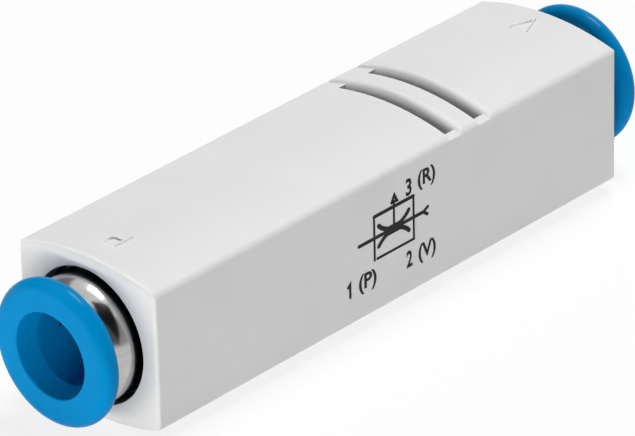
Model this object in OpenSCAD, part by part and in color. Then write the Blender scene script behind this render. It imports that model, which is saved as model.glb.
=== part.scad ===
// Inline vacuum ejector: a moulded box body with a push-in tube port at each end.
// X runs along the body from the supply end (-X) to the vacuum end (+X), Z is up,
// and the origin is the middle of the body's lowest line. Millimetres.

/* [Housing] */
// Length of the moulded body between its end faces
body_l = 53; // [50:0.5:64]
// Width of the body across its two flat sides
body_w = 14; // [13.6:0.1:17]
// Height of the flat sides, from crown edge to crown edge
side_h = 11.5; // [11:0.1:14]
// Rise of the crowned top and of the crowned underside at mid width
crown_h = 1.06; // [0.8:0.02:1.5]
// Rounding of the four long edges
edge_r = 0.6; // [0.3:0.05:0.9]
// Rounding of the edges round each end face
end_r = 0.3; // [0.1:0.05:0.5]

/* [Exhaust gills] */
// Number of gills across the top
gill_n = 2; // [1:1:2]
// Distance from mid length to the sharp lip of the first gill
gill_x = 6.55; // [6:0.05:7]
// Spacing of the gill lips
gill_pitch = 3.4; // [3.1:0.05:3.8]
// Distance along the top from a lip to where the ramp behind it begins
ramp_l = 1.95; // [1.7:0.05:2.1]
// Rounding that turns the top surface down into the ramp
ramp_r = 0.95; // [0.8:0.05:1.2]
// Forward lean of the gill walls, degrees from upright
gill_lean = 16; // [8:1:22]
// Depth of the shallow scoop that each gill leaves at the body's edges
scoop_h = 0.22; // [0.12:0.02:0.36]
// Slant that narrows the scoop between the opening and the plain side
scoop_slant = 1.2; // [0.6:0.05:1.4]
// Reach of the gill opening from the centre line towards the printed side
gill_right = 6.25; // [5.4:0.05:6.35]
// Reach of the gill opening from the centre line towards the plain side
gill_left = 4.9; // [3.6:0.05:6]

/* [Air passages] */
// Rise of the nozzle bore above the centre line of the ports
nozzle_rise = 1.2; // [1:0.05:1.4]
// Diameter of the bore that holds the jet nozzle and forms the suction chamber
nozzle_bore_d = 6; // [5.8:0.05:6.2]
// Diameter of the bore that holds the receiver nozzle and forms the exhaust chamber
receiver_bore_d = 4.2; // [3.9:0.05:4.4]
// Diameter of the duct that joins the vacuum port to the suction chamber
duct_d = 3; // [2.6:0.05:3.1]
// Wall between that duct and the exhaust chamber above it
duct_wall = 0.5; // [0.4:0.05:0.6]
// Length of the suction chamber
suction_l = 4.5; // [3.5:0.1:5.5]
// Distance from mid length back to the end of the suction chamber
suction_x = 3.5; // [3:0.1:4]
// Wall left between the exhaust chamber and the vacuum port
end_wall = 3; // [2:0.1:3.4]
// Depth that each gill cuts below the top of the exhaust chamber
gill_cut = 1.2; // [0.8:0.05:1.6]

/* [Push-in ports] */
// Outside diameter of the tube that each port takes
tube_d = 6; // [5.6:0.05:6.2]
// Radial clearance round the tube
tube_clear = 0.1; // [0.05:0.01:0.15]
// Wall of the release ring's neck
neck_wall = 1.2; // [1.1:0.05:1.35]
// Radial running clearance between the release ring and the collar
slide_clear = 0.05; // [0.03:0.01:0.08]
// Wall of the collar round the release ring's neck
collar_wall = 1.25; // [1.15:0.05:1.3]
// Radial clearance between the collar and the body's port bore
collar_clear = 0.03; // [0.01:0.01:0.06]
// Projection of the collar's rounded nose beyond the end face
nose_l = 1.9; // [1.5:0.05:2.2]
// Wall of the collar at its lip
lip_wall = 0.25; // [0.2:0.05:0.4]
// Rounding of the collar's nose
nose_round = 2.1; // [1.6:0.1:2.6]
// Step from the pressed-in part of the collar down to its slimmer nose
nose_step = 0.43; // [0.3:0.01:0.45]
// Depth behind the end face that the slimmer nose reaches
nose_sink = 1.4; // [1:0.05:1.6]
// Length of the collar's mouth behind the end face
mouth_l = 2.4; // [2.3:0.05:3]
// Step from the mouth to the chamber that holds the claw, spacer and seal
chamber_step = 0.5; // [0.4:0.02:0.56]
// Depth of the tube socket behind the seal
socket_l = 2.8; // [2.2:0.1:3.2]
// Inward step of the tube stop
stop_step = 0.8; // [0.5:0.05:1]
// Thickness of the collar's inner wall and of the tube stop
web_t = 0.7; // [0.5:0.05:0.9]
// Height of the barb that locks the collar into the body
barb_h = 0.15; // [0.1:0.01:0.2]
// Length of the barb
barb_l = 0.8; // [0.5:0.05:1.2]

/* [Release rings] */
// Outside diameter of the release ring's flange
flange_d = 12; // [11.6:0.1:13]
// Thickness of the flange, whose rim is a full round
flange_t = 1.65; // [1.4:0.05:2]
// Travel of the release ring when it is pushed in
ring_travel = 0.55; // [0.4:0.05:0.6]
// Diameter of the funnel where the tube enters
funnel_d = 7; // [6.8:0.05:7.2]
// Length of the funnel
funnel_l = 1.8; // [1.2:0.1:2.2]
// Rounding of the funnel's edge
mouth_r = 0.15; // [0.1:0.05:0.3]
// Height of the bead that keeps the ring in the collar
bead_h = 0.2; // [0.12:0.01:0.25]
// Length of the bead
bead_l = 0.5; // [0.35:0.05:0.6]
// Number of slits that let the neck snap in
slit_n = 4; // [3:1:6]
// Width of a slit
slit_w = 0.6; // [0.4:0.05:0.8]

/* [Claws, spacers and seals] */
// Sheet thickness of the gripping claw
claw_t = 0.25; // [0.15:0.05:0.3]
// Width of the claw's flat rim
claw_rim = 0.6; // [0.5:0.05:0.7]
// Inward slope of the claw's fingers, degrees
claw_slope = 33; // [28:1:36]
// Number of claw fingers
claw_n = 10; // [6:1:12]
// Gap between two fingers
claw_gap = 0.4; // [0.25:0.05:0.6]
// Length of the spacer that backs the claw
spacer_l = 1.7; // [1.6:0.05:2]
// Length of the lip seal
seal_l = 1.9; // [1.6:0.05:2.2]
// Wall of each of the seal's two lips
seal_lip = 0.4; // [0.3:0.05:0.5]
// Section of the O-ring round each collar
collar_ring_cs = 1; // [0.8:0.05:1.1]

/* [Nozzles and silencer] */
// Length of the jet nozzle's thick part
jet_l = 6; // [5.4:0.1:6.4]
// Length of the jet nozzle's nose in the suction chamber
jet_nose_l = 3.3; // [2.6:0.1:3.4]
// Diameter of the jet nozzle's nose at its tip
jet_tip_d = 2.2; // [2:0.1:2.8]
// Throat diameter of the jet nozzle
jet_throat_d = 0.7; // [0.45:0.05:0.95]
// Throat diameter of the receiver nozzle
receiver_throat_d = 1.3; // [1.1:0.05:1.5]
// Length of the receiver nozzle inside its bore
receiver_l = 8; // [7.4:0.1:8.4]
// Diameter of the receiver nozzle's flared outlet
receiver_out_d = 2.6; // [2.2:0.1:2.8]
// Section of the O-rings on the two nozzles
nozzle_ring_cs = 0.7; // [0.5:0.05:0.8]
// Wall of the porous silencer sleeve
silencer_wall = 0.7; // [0.5:0.05:0.9]

/* [Hidden] */
$fn = 72;

// Smallest gap left between pieces that only touch, and overshoot of a cut
fit = 0.02;
stop_gap = 0.05;
over = 1;

// Body section
half_h = side_h / 2 + crown_h;
axis_z = half_h;
crown_r = (pow(body_w / 2, 2) + pow(crown_h, 2)) / (2 * crown_h);
crown_z = 2 * half_h - crown_r;
crown_fn = 240;

// Port bores, from the tube outwards
bore_d = tube_d + 2 * tube_clear;
neck_d = bore_d + 2 * neck_wall;
mouth_d = neck_d + 2 * slide_clear;
collar_d = mouth_d + 2 * collar_wall;
port_d = collar_d + 2 * collar_clear;
lip_d = mouth_d + 2 * lip_wall;
nose_d = collar_d - 2 * nose_step;
chamber_d = mouth_d + 2 * chamber_step;
tail_d = port_d - 2 * (collar_ring_cs + fit);
tail_bore_d = tail_d + 2 * collar_clear;

// Depths inwards from an end face
spacer_u = mouth_l + claw_t;
seal_u = spacer_u + spacer_l;
web_u = seal_u + seal_l;
tail_u = web_u + web_t;
ring_room = collar_ring_cs + 2 * stop_gap;
step_u = tail_u + ring_room;
stop_u = tail_u + socket_l;
collar_end_u = stop_u + web_t;
port_u = collar_end_u + stop_gap;
barb_u = mouth_l + barb_l;
flange_back_u = -nose_l - ring_travel - stop_gap;
flange_front_u = flange_back_u - flange_t;

// Release ring: its bead runs in a groove in the collar's mouth
bead_u = mouth_l - stop_gap - bead_l - 2 * ring_travel - bead_l / 2;
groove_u = bead_u - stop_gap;
groove_l = bead_l + ring_travel + 2 * stop_gap;
ring_end_d = bore_d + neck_wall;

// Claw
claw_root_r = chamber_d / 2 - fit - claw_rim;
claw_tip_r = tube_d / 2 + fit;
claw_drop = (claw_root_r - claw_tip_r) * tan(claw_slope);
tail_end_u = mouth_l + (claw_root_r - ring_end_d / 2) * tan(claw_slope) - ring_travel - stop_gap;

// Air passages
nozzle_z = axis_z + nozzle_rise;
duct_z = nozzle_z - receiver_bore_d / 2 - duct_wall - duct_d / 2;
supply_floor_x = -body_l / 2 + port_u;
vacuum_floor_x = body_l / 2 - port_u;
chamber_end_x = vacuum_floor_x - end_wall;
suction_start_x = -suction_x - suction_l;
jet_start_x = suction_start_x - jet_l;
receiver_end_x = -suction_x + receiver_l;

// Gills, drawn as height above the crown against distance along the body
gill_lean_k = tan(gill_lean);
gill_depth = 2 * half_h - nozzle_z - receiver_bore_d / 2 + gill_cut;

// ---------- helpers ----------

// Puts a piece drawn along +Z, inwards from the end face, into one port
module port(side) {
    translate([side * body_l / 2, 0, axis_z])
        rotate([0, -side * 90, 0])
            children();
}

// Puts a piece drawn along +Z from mid length on the nozzle bore's axis
module on_nozzle_axis(x) {
    translate([x, 0, nozzle_z])
        rotate([0, 90, 0])
            children();
}

// A round bore along X between two stations
module bore_x(x0, x1, z, d) {
    translate([x0, 0, z])
        rotate([0, 90, 0])
            cylinder(h = x1 - x0, d = d);
}

// A ring of round section, centred on a depth
module o_ring(inner_d, cs, u) {
    translate([0, 0, u])
        rotate_extrude()
            translate([inner_d / 2 + cs / 2, 0])
                circle(d = cs, $fn = 32);
}

// ---------- housing ----------

// Long edge between a flat side and the crown, as the piece to cut away
module edge_cutter() {
    y0 = body_w / 2 - edge_r;
    z0 = crown_z + sqrt(pow(crown_r - edge_r, 2) - pow(y0, 2));
    k = (crown_r + over) / (crown_r - edge_r);
    difference() {
        polygon([
            [y0, z0],
            [body_w / 2 + over, z0],
            [body_w / 2 + over, z0 + edge_r + over],
            [y0 * k, crown_z + (z0 - crown_z) * k]
        ]);
        translate([y0, z0])
            circle(r = edge_r);
    }
}

// Width and rounded long edges, across the body
module body_section() {
    difference() {
        translate([-body_w / 2, 0])
            square([body_w, 2 * half_h]);
        for (side = [0, 1], end = [0, 1])
            translate([0, end * 2 * half_h])
                mirror([0, end])
                    mirror([side, 0])
                        edge_cutter();
    }
}

// Length and width with the upright end edges rounded
module body_plan() {
    x0 = body_l / 2;
    y0 = body_w / 2;
    translate([-x0 + end_r, -y0])
        square([body_l - 2 * end_r, body_w]);
    translate([-x0, -y0 + end_r])
        square([body_l, body_w - 2 * end_r]);
    for (sx = [-1, 1], sy = [-1, 1])
        translate([sx * (x0 - end_r), sy * (y0 - end_r)])
            circle(r = end_r);
}

// A wide drum with rounded rims whose skin is the crown of the top
module crown_drum() {
    translate([-body_l / 2, 0, crown_z])
        rotate([0, 90, 0])
            rotate_extrude($fn = crown_fn) {
                square([crown_r - end_r, body_l]);
                translate([0, end_r])
                    square([crown_r, body_l - 2 * end_r]);
                for (x = [end_r, body_l - end_r])
                    translate([crown_r - end_r, x])
                        circle(r = end_r, $fn = 32);
            }
}

module body_block() {
    intersection() {
        translate([-body_l / 2, 0, 0])
            rotate([90, 0, 90])
                linear_extrude(body_l)
                    body_section();
        linear_extrude(2 * half_h)
            body_plan();
        crown_drum();
        translate([0, 0, 2 * half_h])
            mirror([0, 0, 1])
                crown_drum();
    }
}

// Profile of one gill down to a depth: sharp lip in front, rounded ramp behind.
// Its first axis is height above the crown, and its second runs along the body.
module gill_profile(depth) {
    lean = gill_lean;
    touch_x = ramp_l - ramp_r * cos(lean);
    touch_h = -ramp_r + ramp_r * sin(lean);
    intersection() {
        difference() {
            polygon([
                [over, 0],
                [0, 0],
                [-gill_depth, -gill_lean_k * gill_depth],
                [-gill_depth, touch_x - gill_lean_k * (gill_depth + touch_h)],
                [touch_h, touch_x],
                [-ramp_r, ramp_l],
                [over, ramp_l]
            ]);
            translate([-ramp_r, ramp_l])
                circle(r = ramp_r);
        }
        translate([-depth, -body_l])
            square([depth + over, 2 * body_l]);
    }
}

// One gill swept round the crown's own centre line
module gill_sweep(x, depth) {
    translate([x, 0, crown_z])
        rotate([0, 90, 0])
            rotate_extrude($fn = crown_fn)
                translate([crown_r, 0])
                    gill_profile(depth);
}

// Plan of one scoop: it narrows on a slant between the opening and the plain side
module scoop_plan(x) {
    side_y = body_w / 2;
    end_x = x + ramp_l + over;
    polygon([
        [x - over, -side_y],
        [x - over, gill_left],
        [x, gill_left],
        [x + scoop_slant, side_y],
        [end_x, side_y],
        [end_x, -side_y]
    ]);
}

module gills() {
    for (i = [0 : gill_n - 1]) {
        x = gill_x + i * gill_pitch;
        intersection() {
            gill_sweep(x, scoop_h);
            linear_extrude(2 * half_h + over)
                scoop_plan(x);
        }
        intersection() {
            gill_sweep(x, gill_depth);
            translate([x - body_l / 2, -gill_right, 0])
                cube([body_l, gill_right + gill_left, 2 * half_h + over]);
        }
    }
}

// Stepped port bore with the groove that takes the collar's barb
module port_cavity() {
    translate([0, 0, -over])
        cylinder(h = step_u + over, d = port_d);
    cylinder(h = port_u, d = tail_bore_d);
    translate([0, 0, barb_u - stop_gap])
        cylinder(h = barb_l + 2 * stop_gap, d = collar_d + 2 * (barb_h + collar_clear));
}

module housing() {
    color([0.88, 0.88, 0.88])
        difference() {
            body_block();
            for (side = [-1, 1])
                port(side)
                    port_cavity();
            bore_x(supply_floor_x - stop_gap, -suction_x, nozzle_z, nozzle_bore_d);
            bore_x(-suction_x - over, chamber_end_x, nozzle_z, receiver_bore_d);
            bore_x(suction_start_x, vacuum_floor_x + stop_gap, duct_z, duct_d);
            gills();
        }
}

// ---------- push-in ports ----------

// Polished metal collar: its slim rounded nose stands in a gap, its tail is pressed in
module collar() {
    nose_drop = (nose_d - lip_d) / 2;
    round_l = sqrt(pow(nose_round, 2) - pow(nose_round - nose_drop, 2));
    color([0.72, 0.72, 0.72])
        rotate_extrude()
            difference() {
                union() {
                    intersection() {
                        translate([0, -nose_l])
                            square([nose_d / 2, round_l + fit]);
                        translate([nose_d / 2 - nose_round, round_l - nose_l])
                            circle(r = nose_round, $fn = 96);
                    }
                    translate([0, round_l - nose_l])
                        square([nose_d / 2, nose_l - round_l + nose_sink + fit]);
                    translate([0, nose_sink])
                        square([collar_d / 2, tail_u - nose_sink]);
                    square([tail_d / 2, collar_end_u]);
                    polygon([
                        [0, barb_u],
                        [collar_d / 2 + barb_h, barb_u],
                        [collar_d / 2, barb_u + barb_l],
                        [0, barb_u + barb_l]
                    ]);
                }
                translate([0, -nose_l - over])
                    square([mouth_d / 2, nose_l + over + mouth_l + fit]);
                translate([0, groove_u])
                    square([mouth_d / 2 + bead_h + slide_clear, groove_l]);
                translate([0, mouth_l])
                    square([chamber_d / 2, web_u - mouth_l]);
                square([bore_d / 2, stop_u]);
                square([bore_d / 2 - stop_step, collar_end_u + over]);
            }
}

// Blue release ring: full-round flange, slit snap neck with a bead and a blunt nose
module release_ring() {
    rim_r = flange_t / 2;
    color([0, 0.55, 0.82])
        difference() {
            rotate_extrude()
                difference() {
                    union() {
                        translate([0, flange_front_u])
                            square([flange_d / 2 - rim_r, flange_t]);
                        translate([flange_d / 2 - rim_r, flange_front_u + rim_r])
                            circle(r = rim_r, $fn = 48);
                        translate([0, flange_back_u - fit])
                            square([neck_d / 2, bead_u + bead_l - flange_back_u + fit]);
                        translate([0, bead_u])
                            square([neck_d / 2 + bead_h, bead_l]);
                        polygon([
                            [0, bead_u + bead_l],
                            [neck_d / 2, bead_u + bead_l],
                            [ring_end_d / 2, tail_end_u],
                            [0, tail_end_u]
                        ]);
                    }
                    translate([0, flange_front_u - over])
                        square([bore_d / 2, tail_end_u - flange_front_u + 2 * over]);
                    difference() {
                        translate([0, flange_front_u - over])
                            square([funnel_d / 2 + mouth_r, mouth_r + over]);
                        translate([funnel_d / 2 + mouth_r, flange_front_u + mouth_r])
                            circle(r = mouth_r, $fn = 32);
                    }
                    polygon([
                        [0, flange_front_u + mouth_r],
                        [funnel_d / 2, flange_front_u + mouth_r],
                        [bore_d / 2, flange_front_u + funnel_l],
                        [0, flange_front_u + funnel_l]
                    ]);
                }
            for (i = [0 : slit_n - 1])
                rotate([0, 0, 360 * i / slit_n])
                    translate([0, -slit_w / 2, 0])
                        cube([neck_d, slit_w, tail_end_u + over]);
        }
}

// Spring-steel claw: a flat rim with fingers that slope inwards
module claw() {
    rim_r = chamber_d / 2 - fit;
    tip_u = mouth_l + claw_t + claw_drop;
    color([0.8, 0.8, 0.82])
        difference() {
            rotate_extrude()
                polygon([
                    [rim_r, mouth_l],
                    [rim_r, mouth_l + claw_t],
                    [claw_root_r, mouth_l + claw_t],
                    [claw_tip_r, tip_u],
                    [claw_tip_r, tip_u - claw_t],
                    [claw_root_r, mouth_l]
                ]);
            for (i = [0 : claw_n - 1])
                rotate([0, 0, 360 * i / claw_n])
                    translate([0, -claw_gap / 2, 0])
                        cube([claw_root_r, claw_gap, tip_u + over]);
        }
}

// Plastic spacer with a cone that leaves the fingers room to bend
module spacer() {
    outer_r = chamber_d / 2 - fit;
    cone_r = claw_root_r + stop_gap;
    color([0.95, 0.95, 0.93])
        rotate_extrude()
            polygon([
                [outer_r, spacer_u],
                [outer_r, seal_u],
                [bore_d / 2, seal_u],
                [bore_d / 2, spacer_u + claw_drop + stop_gap],
                [cone_r, spacer_u + stop_gap],
                [cone_r, spacer_u]
            ]);
}

// Lip seal with a groove on its pressure side
module lip_seal() {
    outer_r = chamber_d / 2 - fit;
    inner_r = tube_d / 2 - fit;
    mid_r = (outer_r + bore_d / 2) / 2;
    groove_h = seal_l * 0.55;
    color([0.12, 0.12, 0.12])
        rotate_extrude()
            polygon([
                [bore_d / 2, seal_u],
                [outer_r, seal_u],
                [outer_r, web_u],
                [outer_r - seal_lip, web_u],
                [mid_r, web_u - groove_h],
                [inner_r + seal_lip, web_u],
                [inner_r, web_u]
            ]);
}

module collar_o_ring() {
    color([0.1, 0.1, 0.1])
        o_ring(tail_d, collar_ring_cs, tail_u + ring_room / 2);
}

// ---------- nozzles ----------

// Turned jet nozzle: wide inlet cone, narrow throat, slightly flared outlet
module jet_nozzle() {
    body_r = nozzle_bore_d / 2 - fit;
    groove_r = nozzle_bore_d / 2 - nozzle_ring_cs - fit;
    groove_h = nozzle_ring_cs + 2 * stop_gap;
    groove_x = jet_l / 2;
    throat_r = jet_throat_d / 2;
    color([0.85, 0.7, 0.35])
        on_nozzle_axis(jet_start_x)
            rotate_extrude()
                polygon([
                    [body_r * 0.7, 0],
                    [body_r, 0],
                    [body_r, groove_x],
                    [groove_r, groove_x],
                    [groove_r, groove_x + groove_h],
                    [body_r, groove_x + groove_h],
                    [body_r, jet_l],
                    [jet_tip_d / 2 + jet_nose_l / 6, jet_l],
                    [jet_tip_d / 2, jet_l + jet_nose_l],
                    [throat_r * 1.4, jet_l + jet_nose_l],
                    [throat_r, jet_l + jet_nose_l * 0.5],
                    [throat_r, jet_l]
                ]);
}

module jet_o_ring() {
    color([0.1, 0.1, 0.1])
        on_nozzle_axis(jet_start_x)
            o_ring(nozzle_bore_d - 2 * (nozzle_ring_cs + fit), nozzle_ring_cs,
                jet_l / 2 + nozzle_ring_cs / 2 + stop_gap);
}

// Moulded receiver nozzle: flared mouth with a flange, throat, long diffuser
module receiver_nozzle() {
    body_r = receiver_bore_d / 2 - fit;
    flange_r = (nozzle_bore_d + receiver_bore_d) / 4;
    flange_h = suction_l / 9;
    groove_r = body_r - nozzle_ring_cs;
    groove_h = nozzle_ring_cs + 2 * stop_gap;
    groove_x = receiver_l / 4;
    color([0.93, 0.93, 0.9])
        on_nozzle_axis(-suction_x)
            rotate_extrude()
                polygon([
                    [body_r * 0.9, -flange_h],
                    [flange_r, -flange_h],
                    [flange_r, 0],
                    [body_r, 0],
                    [body_r, groove_x],
                    [groove_r, groove_x],
                    [groove_r, groove_x + groove_h],
                    [body_r, groove_x + groove_h],
                    [body_r, receiver_l],
                    [receiver_out_d / 2, receiver_l],
                    [receiver_throat_d / 2, receiver_l * 0.5],
                    [receiver_throat_d / 2, receiver_l * 0.2]
                ]);
}

module receiver_o_ring() {
    color([0.1, 0.1, 0.1])
        on_nozzle_axis(-suction_x)
            o_ring(receiver_bore_d - 2 * (nozzle_ring_cs + fit), nozzle_ring_cs,
                receiver_l / 4 + nozzle_ring_cs / 2 + stop_gap);
}

// Porous silencer: a sleeve with a closed far end below the gills
module silencer() {
    outer_r = receiver_bore_d / 2 - fit;
    length = chamber_end_x - receiver_end_x - fit;
    color([0.85, 0.83, 0.78])
        on_nozzle_axis(receiver_end_x)
            rotate_extrude()
                polygon([
                    [outer_r - silencer_wall, 0],
                    [outer_r, 0],
                    [outer_r, length],
                    [0, length],
                    [0, length - silencer_wall],
                    [outer_r - silencer_wall, length - silencer_wall]
                ]);
}

housing();
port(-1) collar();  // supply_collar
port(-1) release_ring();  // supply_release_ring
port(-1) claw();  // supply_claw
port(-1) spacer();  // supply_spacer
port(-1) lip_seal();  // supply_lip_seal
port(-1) collar_o_ring();  // supply_collar_o_ring
port(1) collar();  // vacuum_collar
port(1) release_ring();  // vacuum_release_ring
port(1) claw();  // vacuum_claw
port(1) spacer();  // vacuum_spacer
port(1) lip_seal();  // vacuum_lip_seal
port(1) collar_o_ring();  // vacuum_collar_o_ring
jet_nozzle();
jet_o_ring();
receiver_nozzle();
receiver_o_ring();
silencer();
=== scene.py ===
"""Finishes, printing and studio for an inline vacuum ejector.

A one-piece moulded body of matt grey plastic carries a push-in tube port at each
end: a polished metal collar with a blue release ring. The packed parts are loaded
as they are. This add-on gives every one of them its finish, prints the port
numbers and the function symbol on one side, raises the P and V marks on the
crown, and sets up a plain studio round it all.
"""

import math

import bmesh
import bpy
from bpy.props import FloatProperty, FloatVectorProperty, PointerProperty
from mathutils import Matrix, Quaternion, Vector
from mathutils.bvhtree import BVHTree


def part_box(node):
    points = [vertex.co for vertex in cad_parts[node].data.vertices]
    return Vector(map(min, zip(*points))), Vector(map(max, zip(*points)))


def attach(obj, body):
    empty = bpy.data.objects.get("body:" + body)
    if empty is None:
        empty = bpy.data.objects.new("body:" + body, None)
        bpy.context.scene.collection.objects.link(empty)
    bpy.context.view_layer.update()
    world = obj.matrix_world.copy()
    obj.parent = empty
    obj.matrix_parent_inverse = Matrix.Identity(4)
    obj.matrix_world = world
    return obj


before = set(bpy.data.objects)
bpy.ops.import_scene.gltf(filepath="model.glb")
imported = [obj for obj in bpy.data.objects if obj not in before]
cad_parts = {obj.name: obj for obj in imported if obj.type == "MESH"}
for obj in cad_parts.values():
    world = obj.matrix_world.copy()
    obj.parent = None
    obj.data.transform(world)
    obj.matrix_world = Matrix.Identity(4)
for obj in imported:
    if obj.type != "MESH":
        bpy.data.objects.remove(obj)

bl_info = {
    "name": "Inline Vacuum Ejector",
    "version": (1, 0, 0),
    "blender": (4, 5, 0),
    "location": "3D View > Sidebar > Ejector",
    "description": "Finishes, port marks and studio of an inline vacuum ejector",
    "category": "Object",
}

MM = 0.001
ENDS = ("supply", "vacuum")
HOUSING_LOW, HOUSING_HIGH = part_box("housing")
BODY_MID = (HOUSING_LOW + HOUSING_HIGH) / 2

# Each port's number and letter, and where they start: along the body from mid
# length, and up from the ports' axis, in millimetres.
PORT_MARKS = (
    ("1", (-5.46, -3.30), "(P)", (-4.20, -3.16)),
    ("2", (1.29, -3.42), "(V)", (2.69, -3.27)),
    ("3", (1.33, 2.82), "(R)", (2.74, 3.08)),
)
NUMBER_WIDTH = 0.68
LETTER_WIDTH = 2.02
NUMBER_TALL = 1.1  # a number's height, from that of a capital
ONE_WEIGHT = 1.3  # the stroke of the 1, from that of the symbol's lines
ONE_STROKE = ((0.04, 0.93), (0.26, 1.14), (0.26, 0.0))

# What the built-in type needs to look like the printed one.
TYPE_CAPITAL = 0.73  # height of its capitals at size 1
TYPE_WEIGHT = 0.028  # what its outlines gain on each side

# Cards round the ejector: place, width, height and shade.
CARDS = {
    "front_flag": ((-0.48, -0.42, 0.2), 1.1, 0.72, 0.12),
    "side_flag": ((0.1, -0.7, 0.2), 0.7, 0.72, 0.45),
    "back_flag": ((-0.1, 0.7, 0.25), 1.2, 0.8, 0.25),
    "black_flag": ((-0.25, -0.45, 0.42), 0.65, 0.9, 0.01),
}

# Lamps: place, width and height. The end lamp lights the supply end and is warm
# enough to even out the blue that the release ring throws on it.
KEY_LAMP = ((0.74, 0.1, 2.15), 0.9, 0.9)
FILL_LAMP = ((-1.15, -0.75, 0.032), 1.0, 0.06)
END_LAMP = ((-1.15, 0.2, 0.032), 0.9, 0.06)
END_COLOUR = (1.0, 0.955, 0.88)
FLOOR_COLOUR = (0.9, 0.9, 0.9, 1.0)
FLOOR_DROP = 0.01 * MM  # keeps the floor clear of the body's underside


# ---------- settings ----------


def length(name, about, default, low, high):
    """A length in metres, shown in the user's own unit."""
    return FloatProperty(
        name=name,
        description=about,
        default=default,
        min=low,
        max=high,
        subtype="DISTANCE",
        unit="LENGTH",
        precision=6,
    )


def share(name, about, default):
    """A plain share from none to all."""
    return FloatProperty(
        name=name,
        description=about,
        default=default,
        min=0.0,
        max=1.0,
        subtype="FACTOR",
    )


def tint(name, about, default):
    """A finish's own colour."""
    return FloatVectorProperty(
        name=name,
        description=about,
        default=default,
        size=3,
        min=0.0,
        max=1.0,
        subtype="COLOR",
    )


class EjectorPlasticSettings(bpy.types.PropertyGroup):
    """Finish of the moulded body."""

    grey: tint("Body grey", "Colour of the moulded body", (0.76, 0.762, 0.762))
    roughness: share("Matt", "Roughness of the body's skin", 0.55)
    grain: length("Grain", "Width of the eroded grain", 0.09 * MM, 0.0, MM)
    grain_depth: length("Grain depth", "Depth of the grain", 0.004 * MM, 0.0, MM)
    clouding: share("Clouding", "Uneven shade left by the flow of the melt", 0.03)


class EjectorPortSettings(bpy.types.PropertyGroup):
    """Finishes of the collars and the release rings."""

    blue: tint("Ring blue", "Colour of the release rings", (0.0, 0.237, 0.555))
    ring_roughness: share("Ring gloss", "Roughness of the rings", 0.16)
    nickel: tint("Collar metal", "Colour of the plated collars", (0.52, 0.508, 0.495))
    polish: share("Collar polish", "Roughness of the collars", 0.16)
    turning: length("Turning marks", "Pitch of the marks", 0.05 * MM, 0.0, MM)
    # Reach of the painted shade that darkens each collar out from the body's end face.
    painted_gap_shade: length("Shaded gap", "Reach of the dark foot", 0.75 * MM, 0.0, MM)


class EjectorInsideSettings(bpy.types.PropertyGroup):
    """Finishes of the pieces inside the body."""

    steel: tint("Claw steel", "Colour of the claws", (0.56, 0.56, 0.57))
    rubber: tint("Seal rubber", "Colour of the seals", (0.012, 0.012, 0.013))
    spacer: tint("Spacer plastic", "Colour of the spacers", (0.78, 0.77, 0.72))
    brass: tint("Jet brass", "Colour of the jet nozzle", (0.72, 0.47, 0.17))
    receiver: tint("Receiver plastic", "Colour of the receiver", (0.74, 0.73, 0.68))
    foam: tint("Silencer foam", "Colour of the porous sleeve", (0.66, 0.63, 0.55))


class EjectorMarkSettings(bpy.types.PropertyGroup):
    """Printed marks on the side and raised marks on the crown."""

    ink: tint("Ink", "Colour of the printing ink", (0.010, 0.010, 0.011))
    ink_t: length("Ink thickness", "Height of the ink", 0.012 * MM, 0.0, MM)
    letter_h: length("Letter height", "Height of a capital", 1.3 * MM, 0.0, 0.01)
    line_w: length("Line width", "Width of the symbol's lines", 0.2 * MM, 0.0, MM)
    raised_h: length("Raised height", "Height of P and V", 0.16 * MM, 0.0, MM)
    raised_w: length("Raised width", "Width of their strokes", 0.16 * MM, 0.0, MM)
    raised_foot: length("Raised foot", "Spread of their sides", 0.1 * MM, 0.0, MM)


class EjectorStageSettings(bpy.types.PropertyGroup):
    """Camera, floor and lamps."""

    azimuth: FloatProperty(
        name="Azimuth",
        description="Turn of the camera round the ejector",
        default=math.radians(-47.162),
        subtype="ANGLE",
        unit="ROTATION",
    )
    elevation: FloatProperty(
        name="Elevation",
        description="Height of the camera above the horizon",
        default=math.radians(27.965),
        subtype="ANGLE",
        unit="ROTATION",
    )
    roll: FloatProperty(
        name="Roll",
        description="Tilt of the camera about its own line of sight",
        default=math.radians(-1.428),
        subtype="ANGLE",
        unit="ROTATION",
    )
    distance: length("Distance", "From camera to ejector", 0.46429, 0.1, 5.0)
    lens: FloatProperty(
        name="Lens",
        description="Focal length in millimetres",
        default=340.16,
        min=10.0,
        max=1000.0,
        subtype="DISTANCE_CAMERA",
    )
    aim: FloatVectorProperty(
        name="Aim",
        description="Point that the camera looks at",
        default=(-0.785 * MM, 0.307 * MM, 6.119 * MM),
        size=3,
        subtype="XYZ",
        unit="LENGTH",
        precision=6,
    )
    room_light: share("Room light", "Soft light from all round", 0.03)
    key_light: FloatProperty(
        name="Key lamp",
        description="Power of the lamp above and behind",
        default=51.5,
        min=0.0,
        max=200.0,
        unit="POWER",
    )
    fill_light: FloatProperty(
        name="Fill lamp",
        description="Power of the low lamp beside the printed side",
        default=8.2,
        min=0.0,
        max=50.0,
        unit="POWER",
    )
    end_light: FloatProperty(
        name="End lamp",
        description="Power of the low lamp before the supply end",
        default=6.1,
        min=0.0,
        max=50.0,
        unit="POWER",
    )
    shadow: share("Shadow", "Share of the shadow that the floor keeps", 0.15)
    floor: length("Floor", "Side of the square floor", 4.0, 0.5, 20.0)


SETTINGS = {
    "ejector_plastic": EjectorPlasticSettings,
    "ejector_ports": EjectorPortSettings,
    "ejector_inside": EjectorInsideSettings,
    "ejector_marks": EjectorMarkSettings,
    "ejector_stage": EjectorStageSettings,
}


# ---------- finishes ----------


# Sockets of a colour mix node, which its names don't tell apart.
MIX_COLOUR = 6
MIX_OTHER = 7
MIX_RESULT = 2


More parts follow.
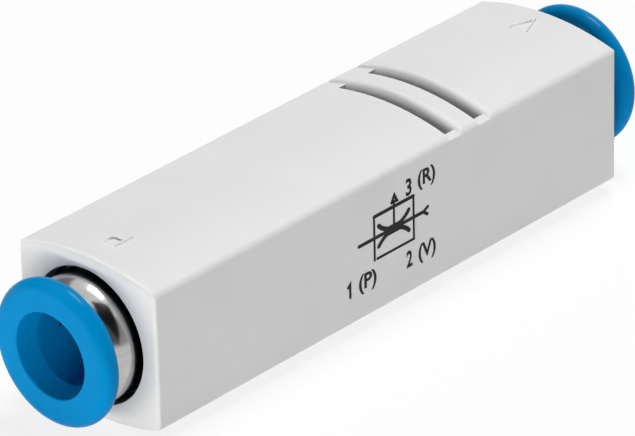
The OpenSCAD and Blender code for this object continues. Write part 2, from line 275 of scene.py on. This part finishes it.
class Finish:
    """A material under construction: its nodes, its shader and its own place."""

    def __init__(self, name, colour, roughness, metallic=0.0):
        self.material = bpy.data.materials.new(name)
        self.material.use_nodes = True
        self.tree = self.material.node_tree
        self.shader = self.tree.nodes["Principled BSDF"]
        self.shader.inputs["Base Color"].default_value = (*colour, 1.0)
        self.shader.inputs["Roughness"].default_value = roughness
        self.shader.inputs["Metallic"].default_value = metallic
        self.material.diffuse_color = (*colour, 1.0)
        self.place = self.node("ShaderNodeTexCoord").outputs["Object"]

    def node(self, kind, **settings):
        """A new node with its settings."""
        made = self.tree.nodes.new(kind)
        for key, value in settings.items():
            setattr(made, key, value)
        return made

    def join(self, source, target):
        self.tree.links.new(source, target)

    def grain(self, size, detail=2.0, place=None):
        """Cloudy grain of about that size."""
        made = self.node("ShaderNodeTexNoise")
        made.inputs["Scale"].default_value = 1.0 / size
        made.inputs["Detail"].default_value = detail
        self.join(place or self.place, made.inputs["Vector"])
        return made.outputs["Fac"]

    def pores(self, size):
        """Round cells of about that size."""
        made = self.node("ShaderNodeTexVoronoi")
        made.inputs["Scale"].default_value = 1.0 / size
        self.join(self.place, made.inputs["Vector"])
        return made.outputs["Distance"]

    def turned(self, centre):
        """A place that changes only along X and outwards from an axis along X."""
        split = self.node("ShaderNodeSeparateXYZ")
        self.join(self.place, split.inputs[0])
        off = []
        for axis, value in (("Y", centre[0]), ("Z", centre[1])):
            step = self.node("ShaderNodeMath", operation="SUBTRACT")
            self.join(split.outputs[axis], step.inputs[0])
            step.inputs[1].default_value = value
            off.append(step.outputs[0])
        flat = self.node("ShaderNodeCombineXYZ")
        self.join(off[0], flat.inputs["X"])
        self.join(off[1], flat.inputs["Y"])
        radius = self.node("ShaderNodeVectorMath", operation="LENGTH")
        self.join(flat.outputs[0], radius.inputs[0])
        place = self.node("ShaderNodeCombineXYZ")
        self.join(split.outputs["X"], place.inputs["X"])
        self.join(radius.outputs["Value"], place.inputs["Y"])
        return place.outputs[0]

    def spread(self, value, low, high, start=0.3, end=0.7):
        """Maps start to end, unless said a grain's middle, onto low to high."""
        made = self.node("ShaderNodeMapRange")
        self.join(value, made.inputs["Value"])
        made.inputs["From Min"].default_value = start
        made.inputs["From Max"].default_value = end
        made.inputs["To Min"].default_value = low
        made.inputs["To Max"].default_value = high
        return made.outputs["Result"]

    def shade(self, value, colour, other):
        """Runs the colour from one shade to another."""
        made = self.node("ShaderNodeMix", data_type="RGBA")
        self.join(self.spread(value, low=0.0, high=1.0), made.inputs["Factor"])
        made.inputs[MIX_COLOUR].default_value = (*colour, 1.0)
        made.inputs[MIX_OTHER].default_value = (*other, 1.0)
        self.join(made.outputs[MIX_RESULT], self.shader.inputs["Base Color"])
        return made.outputs[MIX_RESULT]

    def cover(self, share, colour, under):
        """Lays a colour over the one under it where the share is low."""
        made = self.node("ShaderNodeMix", data_type="RGBA")
        self.join(share, made.inputs["Factor"])
        made.inputs[MIX_COLOUR].default_value = (*colour, 1.0)
        self.join(under, made.inputs[MIX_OTHER])
        self.join(made.outputs[MIX_RESULT], self.shader.inputs["Base Color"])

    def rough(self, value, middle, below, above):
        """Lets the roughness wander round its middle."""
        rough = self.spread(value, middle - below, middle + above)
        self.join(rough, self.shader.inputs["Roughness"])

    def relief(self, value, depth, below=None):
        """Raises the skin by depth where the value is high."""
        made = self.node("ShaderNodeBump")
        made.inputs["Strength"].default_value = 1.0
        made.inputs["Distance"].default_value = depth
        self.join(value, made.inputs["Height"])
        if below is not None:
            self.join(below, made.inputs["Normal"])
        self.join(made.outputs["Normal"], self.shader.inputs["Normal"])
        return made.outputs["Normal"]

    def set(self, **values):
        """Sets shader inputs, with _ for the spaces in their names."""
        for key, value in values.items():
            self.shader.inputs[key.replace("_", " ")].default_value = value


def darker(colour, part):
    """A colour without that part of its light."""
    return tuple(c * (1.0 - part) for c in colour)


def give(finish, *nodes):
    """Puts a finish on packed parts."""
    for name in nodes:
        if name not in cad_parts:
            raise RuntimeError(f"the packed ejector has no part named {name}")
        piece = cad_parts[name]
        if not piece.material_slots:
            piece.data.materials.append(finish.material)
        for place in piece.material_slots:
            place.material = finish.material


def both(part):
    """A part's names at the supply end and at the vacuum end."""
    return [f"{end}_{part}" for end in ENDS]


def body_moulding(s):
    """Matt grey moulding with an eroded grain and faint clouds from the melt."""
    finish = Finish("matt_grey_moulding", s.grey, s.roughness)
    clouds = finish.grain(size=6 * MM, detail=3.0)
    finish.shade(clouds, s.grey, darker(s.grey, s.clouding))
    fine = finish.grain(size=s.grain)
    finish.rough(fine, s.roughness, below=0.06, above=0.06)
    swell = finish.relief(finish.grain(size=1.6 * MM), depth=0.006 * MM)
    finish.relief(fine, s.grain_depth, swell)
    finish.set(Specular_IOR_Level=0.35)
    return finish


def plated_collar(s):
    """Nickel plate over a turned collar, painted dark as shade down in the gap."""
    finish = Finish("polished_nickel", s.nickel, s.polish, 1.0)
    axis = (BODY_MID.y, BODY_MID.z)
    rings = finish.grain(s.turning, detail=1.0, place=finish.turned(axis))
    haze = finish.grain(size=0.8 * MM, detail=3.0)
    split = finish.node("ShaderNodeSeparateXYZ")
    finish.join(finish.place, split.inputs[0])
    reach = finish.node("ShaderNodeMath", operation="ABSOLUTE")
    finish.join(split.outputs["X"], reach.inputs[0])
    # Painted shade: the plate is nearly black inside the body's end face and fades
    # back to plain plate over the set reach outside it, where the gap lies in shade.
    foot = HOUSING_HIGH.x
    unshaded_share = finish.spread(
        reach.outputs[0], low=0.0, high=1.0, start=foot, end=foot + s.painted_gap_shade
    )
    plate = finish.shade(haze, s.nickel, darker(s.nickel, part=0.12))
    finish.cover(unshaded_share, darker(s.nickel, part=0.96), plate)
    finish.rough(haze, s.polish, below=0.03, above=0.06)
    finish.relief(rings, depth=0.0008 * MM)
    return finish


def ring_plastic(s):
    """Blue moulded ring with a smooth skin and faint clouds from the melt."""
    finish = Finish("blue_ring_plastic", s.blue, s.ring_roughness)
    clouds = finish.grain(size=2.5 * MM, detail=3.0)
    finish.shade(clouds, s.blue, darker(s.blue, part=0.06))
    fine = finish.grain(size=0.12 * MM)
    finish.rough(fine, s.ring_roughness, below=0.02, above=0.03)
    finish.set(Specular_IOR_Level=0.04)
    return finish


def claw_steel(s):
    """Rolled spring steel with the rolling lines left in it."""
    finish = Finish("spring_steel", s.steel, roughness=0.28, metallic=1.0)
    stretch = finish.node("ShaderNodeMapping")
    finish.join(finish.place, stretch.inputs["Vector"])
    stretch.inputs["Scale"].default_value = (1.0, 0.04, 1.0)
    lines = finish.grain(size=0.04 * MM, place=stretch.outputs["Vector"])
    finish.shade(lines, s.steel, darker(s.steel, part=0.18))
    finish.rough(lines, 0.28, below=0.06, above=0.08)
    finish.relief(lines, depth=0.001 * MM)
    return finish


def seal_rubber(s):
    """Black rubber with a dusty bloom."""
    finish = Finish("black_seal_rubber", s.rubber, roughness=0.62)
    bloom = finish.grain(size=0.5 * MM, detail=4.0)
    finish.shade(bloom, s.rubber, other=(0.03, 0.03, 0.031))
    fine = finish.grain(size=0.06 * MM)
    finish.rough(bloom, 0.62, below=0.12, above=0.1)
    finish.relief(fine, depth=0.003 * MM)
    return finish


def natural_plastic(name, colour, roughness):
    """Unpigmented moulding, a touch cloudy and waxy."""
    finish = Finish(name, colour, roughness)
    clouds = finish.grain(size=1.2 * MM, detail=3.0)
    finish.shade(clouds, colour, darker(colour, part=0.07))
    fine = finish.grain(size=0.08 * MM)
    finish.rough(fine, roughness, below=0.05, above=0.07)
    finish.relief(fine, depth=0.0015 * MM)
    return finish


def turned_brass(s):
    """Brass with the fine rings that the turning tool leaves."""
    finish = Finish("turned_brass", s.brass, roughness=0.22, metallic=1.0)
    low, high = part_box("jet_nozzle")
    axis = ((low.y + high.y) / 2, (low.z + high.z) / 2)
    rings = finish.grain(size=0.03 * MM, detail=1.0, place=finish.turned(axis))
    stains = finish.grain(size=1.5 * MM, detail=4.0)
    finish.shade(stains, s.brass, darker(s.brass, part=0.25))
    finish.rough(rings, 0.22, below=0.06, above=0.1)
    finish.relief(rings, depth=0.002 * MM)
    return finish


def porous_sleeve(s):
    """Sintered beads, darker between them as painted shade in the pores."""
    finish = Finish("porous_silencer_foam", s.foam, roughness=0.85)
    beads = finish.pores(size=0.18 * MM)
    # Painted shade: the colour darkens towards the edges of the beads, down in the
    # pores.
    finish.shade(beads, s.foam, darker(s.foam, part=0.6))
    finish.rough(finish.grain(size=0.3 * MM), 0.85, below=0.1, above=0.1)
    finish.relief(beads, depth=-0.05 * MM)
    return finish


def marking_ink(s):
    """Black pad-printed ink, thinner here and there."""
    finish = Finish("black_marking_ink", s.ink, roughness=0.45)
    cover = finish.grain(size=0.25 * MM, detail=4.0)
    finish.shade(cover, s.ink, other=(0.022, 0.022, 0.023))
    finish.rough(cover, 0.45, below=0.07, above=0.15)
    finish.relief(finish.grain(size=0.05 * MM), depth=0.001 * MM)
    finish.set(Specular_IOR_Level=0.12)
    return finish


# ---------- marks ----------


def bend_of(points, i):
    """Sideways direction at a point of a line, and how much its mitre widens."""
    ahead = points[min(i + 1, len(points) - 1)] - points[i]
    behind = points[i] - points[max(i - 1, 0)]
    ahead = ahead.normalized() if ahead.length else behind.normalized()
    behind = behind.normalized() if behind.length else ahead
    along = (ahead + behind).normalized()
    side = Vector((-along.y, along.x))
    sharpest = 0.4
    return side, 1.0 / max(sharpest, side.dot(Vector((-ahead.y, ahead.x))))


def line_sections(points, width):
    """Cross sections of a line with round ends: middle, sideways and half width."""
    points = [Vector(p) for p in points]
    half = width / 2
    made = []
    for i, point in enumerate(points):
        side, widen = bend_of(points, i)
        made.append((point, side, half * widen))
    round_steps = (25, 50, 75)
    for first in (True, False):
        point = points[0] if first else points[-1]
        inner = points[1] if first else points[-2]
        out = (point - inner).normalized()
        side = made[0][1] if first else made[-1][1]
        cap = []
        for angle in round_steps:
            a = math.radians(angle)
            cap.append((point + out * half * math.sin(a), side, half * math.cos(a)))
        made = cap[::-1] + made if first else made + cap
    return made


def raised_line(mesh, points, width, height, place, draft=0.0):
    """Adds a line that stands up from the skin, with sides that lean by the draft."""
    rows = []
    for middle, side, half in line_sections(points, width):
        reach = (half + draft, half, -half, -half - draft)
        lift = (0.0, height, height, 0.0)
        rows.append(
            [
                mesh.verts.new(place(*(middle + side * r), h))
                for r, h in zip(reach, lift)
            ]
        )
    for a, b in zip(rows, rows[1:]):
        for k in range(3):
            mesh.faces.new((a[k], a[k + 1], b[k + 1], b[k]))
    mesh.faces.new(rows[0][::-1])
    mesh.faces.new(rows[-1])


def arc(centre, radius, start, end, steps=16):
    """Points of an arc, angles in degrees."""
    made = []
    for i in range(steps + 1):
        a = math.radians(start + (end - start) * i / steps)
        made.append(
            (centre[0] + radius * math.cos(a), centre[1] + radius * math.sin(a))
        )
    return made


def piece_from(mesh, name, finish):
    """Turns a built mesh into a piece that rides on the body."""
    bmesh.ops.recalc_face_normals(mesh, faces=mesh.faces)
    data = bpy.data.meshes.new(name)
    mesh.to_mesh(data)
    mesh.free()
    data.materials.append(finish)
    piece = bpy.data.objects.new(name, data)
    bpy.context.scene.collection.objects.link(piece)
    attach(piece, "body")
    return piece


def side_place(x, z, lift):
    """A point on the printed side, from mid length and from the ports' axis."""
    return Vector((x, HOUSING_LOW.y - lift, BODY_MID.z + z))


def crown_place(skin, x, y, lift):
    """A point on the crown, found on the housing itself."""
    clear_of_skin = 5 * MM
    rooted = 0.02 * MM  # how far a mark's foot goes into the skin
    above = Vector((x, y, HOUSING_HIGH.z + clear_of_skin))
    hit = skin.ray_cast(above, Vector((0, 0, -1)))[0]
    if hit is None:
        raise RuntimeError("a raised mark misses the crown")
    return hit + Vector((0, 0, lift if lift else -rooted))


def housing_skin():
    """The housing's surface, ready to be hit by rays."""
    graph = bpy.context.evaluated_depsgraph_get()
    return BVHTree.FromObject(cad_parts["housing"], graph)


def lettering(mesh, words, height, thickness, place, left, base, width):
    """Adds words set in the plain built-in type, scaled to a height and a width."""
    text = bpy.data.curves.new("lettering", "FONT")
    text.body = words
    text.extrude = 0.5
    text.offset = TYPE_WEIGHT
    text.resolution_u = 5
    holder = bpy.data.objects.new("lettering", text)
    bpy.context.scene.collection.objects.link(holder)
    graph = bpy.context.evaluated_depsgraph_get()
    data = bpy.data.meshes.new_from_object(holder.evaluated_get(graph))
    xs = [v.co.x for v in data.vertices]
    for v in data.vertices:
        along = (v.co.x - min(xs)) / (max(xs) - min(xs))
        v.co = place(
            left + along * width,
            base + v.co.y / TYPE_CAPITAL * height,
            thickness if v.co.z > 0 else 0.0,
        )
    mesh.from_mesh(data)
    bpy.data.objects.remove(holder)
    bpy.data.curves.remove(text)
    bpy.data.meshes.remove(data)


# ---------- studio ----------


def studio_floor(s):
    """Plain white floor that shows only part of the shadow."""
    data = bpy.data.meshes.new("studio_floor")
    mesh = bmesh.new()
    bmesh.ops.create_grid(mesh, x_segments=1, y_segments=1, size=s.floor / 2)
    mesh.to_mesh(data)
    mesh.free()
    floor = bpy.data.objects.new("studio_floor", data)
    floor.location.z = -FLOOR_DROP
    bpy.context.scene.collection.objects.link(floor)
    material = bpy.data.materials.new("studio_white")
    material.use_nodes = True
    tree = material.node_tree
    tree.nodes.clear()
    matt = tree.nodes.new("ShaderNodeBsdfDiffuse")
    matt.inputs["Color"].default_value = FLOOR_COLOUR
    bright = tree.nodes.new("ShaderNodeEmission")
    bright.inputs["Strength"].default_value = 1.0
    seen = seen_ray(tree)
    part = tree.nodes.new("ShaderNodeMath")
    part.operation = "MULTIPLY"
    part.inputs[1].default_value = 1.0 - s.shadow
    mix = tree.nodes.new("ShaderNodeMixShader")
    out = tree.nodes.new("ShaderNodeOutputMaterial")
    tree.links.new(seen, part.inputs[0])
    tree.links.new(part.outputs[0], mix.inputs["Fac"])
    tree.links.new(matt.outputs[0], mix.inputs[1])
    tree.links.new(bright.outputs[0], mix.inputs[2])
    tree.links.new(mix.outputs[0], out.inputs["Surface"])
    data.materials.append(material)


def seen_ray(tree):
    """One for what the camera, gloss and glass see, none for what lights a surface."""
    path = tree.nodes.new("ShaderNodeLightPath")
    total = None
    for ray in ("Is Camera Ray", "Is Glossy Ray", "Is Transmission Ray"):
        if total is None:
            total = path.outputs[ray]
            continue
        step = tree.nodes.new("ShaderNodeMath")
        step.operation = "MAXIMUM"
        tree.links.new(total, step.inputs[0])
        tree.links.new(path.outputs[ray], step.inputs[1])
        total = step.outputs[0]
    return total


def studio_room(s):
    """White room: full white where it is seen, softer where it lights."""
    world = bpy.data.worlds.new("studio_room")
    world.use_nodes = True
    tree = world.node_tree
    back = tree.nodes["Background"]
    back.inputs["Color"].default_value = (1.0, 1.0, 1.0, 1.0)
    level = tree.nodes.new("ShaderNodeMapRange")
    level.inputs["To Min"].default_value = s.room_light
    level.inputs["To Max"].default_value = 1.0
    tree.links.new(seen_ray(tree), level.inputs["Value"])
    tree.links.new(level.outputs["Result"], back.inputs["Strength"])
    bpy.context.scene.world = world


def studio_lamp(name, place, wide, high, power, colour=(1.0, 1.0, 1.0), seen=True):
    """Soft box lamp that points at the ejector, and that gloss shows if seen."""
    data = bpy.data.lights.new(name, "AREA")
    data.shape = "RECTANGLE"
    data.size = wide
    data.size_y = high
    data.energy = power
    data.color = colour
    lamp = bpy.data.objects.new(name, data)
    lamp.visible_glossy = seen
    lamp.location = place
    way = BODY_MID - Vector(place)
    lamp.rotation_mode = "QUATERNION"
    lamp.rotation_quaternion = way.to_track_quat("-Z", "Y")
    bpy.context.scene.collection.objects.link(lamp)


def studio_flag(name, place, wide, high, shade):
    """Card that only reflections show, which lights and shades nothing itself."""
    data = bpy.data.meshes.new(name)
    mesh = bmesh.new()
    bmesh.ops.create_grid(mesh, x_segments=1, y_segments=1, size=0.5)
    mesh.to_mesh(data)
    mesh.free()
    material = bpy.data.materials.new(name)
    material.use_nodes = True
    tree = material.node_tree
    tree.nodes.clear()
    glow = tree.nodes.new("ShaderNodeEmission")
    glow.inputs["Color"].default_value = (shade, shade, shade, 1.0)
    out = tree.nodes.new("ShaderNodeOutputMaterial")
    tree.links.new(glow.outputs[0], out.inputs["Surface"])
    data.materials.append(material)
    flag = bpy.data.objects.new(name, data)
    flag.location = place
    flag.scale = (wide, high, 1.0)
    flag.rotation_mode = "QUATERNION"
    flag.rotation_quaternion = (BODY_MID - Vector(place)).to_track_quat("Z", "Y")
    flag.visible_camera = False
    flag.visible_diffuse = False
    flag.visible_transmission = False
    flag.visible_shadow = False
    bpy.context.scene.collection.objects.link(flag)


def studio_camera(s):
    """Long lens that looks at the printed side, the crown and the supply end."""
    data = bpy.data.cameras.new("studio_camera")
    data.lens = s.lens
    data.sensor_width = 36.0
    data.clip_start = 0.01
    data.clip_end = 20.0
    camera = bpy.data.objects.new("studio_camera", data)
    flat = math.cos(s.elevation)
    back = Vector(
        (
            math.sin(s.azimuth) * flat,
            -math.cos(s.azimuth) * flat,
            math.sin(s.elevation),
        )
    )
    camera.location = Vector(s.aim) + back * s.distance
    camera.rotation_mode = "QUATERNION"
    tilt = Quaternion((0, 0, 1), s.roll)
    camera.rotation_quaternion = (-back).to_track_quat("-Z", "Y") @ tilt
    bpy.context.scene.collection.objects.link(camera)
    bpy.context.scene.camera = camera


# ---------- operators ----------


class EJECTOR_OT_housing(bpy.types.Operator):
    """Gives the one-piece body its matt grey moulded finish"""

    bl_idname = "ejector.housing"
    bl_label = "Finish Housing"

    def execute(self, context):
        give(body_moulding(context.scene.ejector_plastic), "housing")
        return {"FINISHED"}


class EJECTOR_OT_collars(bpy.types.Operator):
    """Plates and polishes the two collars"""

    bl_idname = "ejector.collars"
    bl_label = "Finish Collars"

    def execute(self, context):
        give(plated_collar(context.scene.ejector_ports), *both("collar"))
        return {"FINISHED"}


class EJECTOR_OT_release_rings(bpy.types.Operator):
    """Colours the two blue release rings"""

    bl_idname = "ejector.release_rings"
    bl_label = "Finish Release Rings"

    def execute(self, context):
        give(ring_plastic(context.scene.ejector_ports), *both("release_ring"))
        return {"FINISHED"}


class EJECTOR_OT_claws(bpy.types.Operator):
    """Gives the claws their rolled spring steel"""

    bl_idname = "ejector.claws"
    bl_label = "Finish Claws"

    def execute(self, context):
        give(claw_steel(context.scene.ejector_inside), *both("claw"))
        return {"FINISHED"}


class EJECTOR_OT_spacers(bpy.types.Operator):
    """Gives the spacers their unpigmented plastic"""

    bl_idname = "ejector.spacers"
    bl_label = "Finish Spacers"

    def execute(self, context):
        s = context.scene.ejector_inside
        spacer = natural_plastic("spacer_plastic", s.spacer, roughness=0.4)
        give(spacer, *both("spacer"))
        return {"FINISHED"}


class EJECTOR_OT_seals(bpy.types.Operator):
    """Gives the lip seals and all O-rings their black rubber"""

    bl_idname = "ejector.seals"
    bl_label = "Finish Seals"

    def execute(self, context):
        seals = both("lip_seal") + both("collar_o_ring")
        seals += ["jet_o_ring", "receiver_o_ring"]
        give(seal_rubber(context.scene.ejector_inside), *seals)
        return {"FINISHED"}


class EJECTOR_OT_nozzles(bpy.types.Operator):
    """Finishes the brass jet nozzle and the moulded receiver nozzle"""

    bl_idname = "ejector.nozzles"
    bl_label = "Finish Nozzles"

    def execute(self, context):
        s = context.scene.ejector_inside
        give(turned_brass(s), "jet_nozzle")
        receiver = natural_plastic("receiver_plastic", s.receiver, roughness=0.35)
        give(receiver, "receiver_nozzle")
        return {"FINISHED"}


class EJECTOR_OT_silencer(bpy.types.Operator):
    """Gives the silencer sleeve its sintered beads"""

    bl_idname = "ejector.silencer"
    bl_label = "Finish Silencer"

    def execute(self, context):
        give(porous_sleeve(context.scene.ejector_inside), "silencer")
        return {"FINISHED"}


class EJECTOR_OT_printed_marks(bpy.types.Operator):
    """Prints the function symbol and the three port numbers on the side"""

    bl_idname = "ejector.printed_marks"
    bl_label = "Print Side Marks"

    def execute(self, context):
        s = context.scene.ejector_marks
        ink = marking_ink(s).material
        self.symbol(s, ink)
        for number, number_at, letter, letter_at in PORT_MARKS:
            mesh = bmesh.new()
            if number == "1":
                self.one(mesh, s, number_at)
            else:
                self.words(mesh, s, number, number_at, NUMBER_WIDTH, NUMBER_TALL)
            self.words(mesh, s, letter, letter_at, LETTER_WIDTH)
            piece_from(mesh, f"port_number_{number}", ink)
        return {"FINISHED"}

    def one(self, mesh, s, at):
        """A 1 without a foot, which the built-in type doesn't have."""
        points = [((at[0] + x) * MM, (at[1] + z) * MM) for x, z in ONE_STROKE]
        raised_line(mesh, points, s.line_w * ONE_WEIGHT, s.ink_t, side_place)

    def words(self, mesh, s, words, at, width, tall=1.0):
        """Words that start at a place, as wide as said, in capitals that tall."""
        lettering(
            mesh,
            words,
            s.letter_h * tall,
            s.ink_t,
            side_place,
            at[0] * MM,
            at[1] * MM,
            width * MM,
        )

    def symbol(self, s, ink):
        """Function symbol: a box, the jet through it, two nozzle arcs, the exhaust."""
        mesh = bmesh.new()
        mid = 0.65
        low, high = -1.22, 2.5
        left, right = -2.34, 2.2
        arc_r, open_deg = 2.3, 49
        swing = (90 - open_deg, 90 + open_deg)
        tip, heel, half = 3.46, 2.9, 0.3
        lines = [
            ([(left + 0.3, low), (right, low), (right, high)], 1.15),
            ([(right, high), (left, high)], 1.6),
            ([(left, high), (left, low - 0.03)], 1.15),
            ([(-4.1, mid), (3.4, mid)], 1.6),
            ([(3.3, mid), (3.85, mid + 0.26)], 1.4),
            ([(3.3, mid), (3.8, mid - 0.36)], 1.4),
            (arc((-0.1, mid - 0.1 - arc_r), arc_r, *swing), 1.9),
            (arc((-0.1, mid + 0.1 + arc_r), arc_r, *[-a for a in swing]), 1.9),
            ([(-0.75, mid - 0.02), (0.6, mid - 0.02)], 4.0),
            ([(-0.08, mid), (-0.05, heel)], 1.15),
            ([(-half, heel), (half, heel), (0, tip), (-half, heel)], 1.35),
        ]
        overlap = 0.04  # each line stands a little above the one before
        for step, (points, weight) in enumerate(lines):
            points = [(x * MM, z * MM) for x, z in points]
            thickness = s.ink_t * (1 + overlap * step)
            raised_line(mesh, points, s.line_w * weight, thickness, side_place)
        piece_from(mesh, "function_symbol", ink)


class EJECTOR_OT_raised_marks(bpy.types.Operator):
    """Raises the P mark at the supply end and the V mark at the vacuum end"""

    bl_idname = "ejector.raised_marks"
    bl_label = "Raise Crown Marks"

    def execute(self, context):
        s = context.scene.ejector_marks
        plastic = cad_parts["housing"].material_slots[0].material
        skin = housing_skin()

        def place(x, y, lift):
            return crown_place(skin, x, y, lift)

        foot, top, base, bowl_r = -22.3, -24.1, -0.75, 0.5
        bowl = (top + bowl_r, base + 0.65)
        letters = {
            "raised_p": [(foot, base), (top, base), (top, bowl[1])]
            + arc(bowl, bowl_r, 180, 0, 12)
            + [(top + 2 * bowl_r, base)],
            "raised_v": [(22.65, 0.62), (24.7, -0.1), (22.8, -0.87)],
        }
        for name, points in letters.items():
            mesh = bmesh.new()
            points = [(x * MM, y * MM) for x, y in points]
            raised_line(mesh, points, s.raised_w, s.raised_h, place, s.raised_foot)
            piece_from(mesh, name, plastic)
        return {"FINISHED"}


class EJECTOR_OT_stage(bpy.types.Operator):
    """Sets the camera, the white floor, the room, the cards and the lamps"""

    bl_idname = "ejector.stage"
    bl_label = "Set Stage"

    def execute(self, context):
        s = context.scene.ejector_stage
        context.scene.view_settings.view_transform = "Standard"
        studio_camera(s)
        studio_room(s)
        studio_floor(s)
        for name, card in CARDS.items():
            studio_flag(name, *card)
        studio_lamp("key_lamp", *KEY_LAMP, s.key_light)
        studio_lamp("fill_lamp", *FILL_LAMP, s.fill_light, seen=False)
        studio_lamp("end_lamp", *END_LAMP, s.end_light, END_COLOUR, seen=False)
        return {"FINISHED"}


STEPS = (
    EJECTOR_OT_housing,
    EJECTOR_OT_collars,
    EJECTOR_OT_release_rings,
    EJECTOR_OT_claws,
    EJECTOR_OT_spacers,
    EJECTOR_OT_seals,
    EJECTOR_OT_nozzles,
    EJECTOR_OT_silencer,
    EJECTOR_OT_printed_marks,
    EJECTOR_OT_raised_marks,
    EJECTOR_OT_stage,
)


class EJECTOR_PT_panel(bpy.types.Panel):
    """Lists the ejector's steps and settings"""

    bl_idname = "EJECTOR_PT_panel"
    bl_label = "Vacuum Ejector"
    bl_space_type = "VIEW_3D"
    bl_region_type = "UI"
    bl_category = "Ejector"

    def draw(self, context):
        for step in STEPS:
            self.layout.operator(step.bl_idname)
        for key, group in SETTINGS.items():
            box = self.layout.box()
            box.label(text=group.__doc__)
            for name in group.__annotations__:
                box.prop(getattr(context.scene, key), name)


def register():
    for group in SETTINGS.values():
        bpy.utils.register_class(group)
    for key, group in SETTINGS.items():
        setattr(bpy.types.Scene, key, PointerProperty(type=group))
    for step in (*STEPS, EJECTOR_PT_panel):
        bpy.utils.register_class(step)


def unregister():
    for step in (EJECTOR_PT_panel, *reversed(STEPS)):
        bpy.utils.unregister_class(step)
    for key, group in SETTINGS.items():
        delattr(bpy.types.Scene, key)
        bpy.utils.unregister_class(group)


def main():
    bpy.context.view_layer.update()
    register()
    bpy.ops.ejector.housing()
    bpy.ops.ejector.collars()
    bpy.ops.ejector.release_rings()
    bpy.ops.ejector.claws()
    bpy.ops.ejector.spacers()
    bpy.ops.ejector.seals()
    bpy.ops.ejector.nozzles()
    bpy.ops.ejector.silencer()
    bpy.ops.ejector.printed_marks()
    bpy.ops.ejector.raised_marks()
    bpy.ops.ejector.stage()


if __name__ == "__main__":
    main()
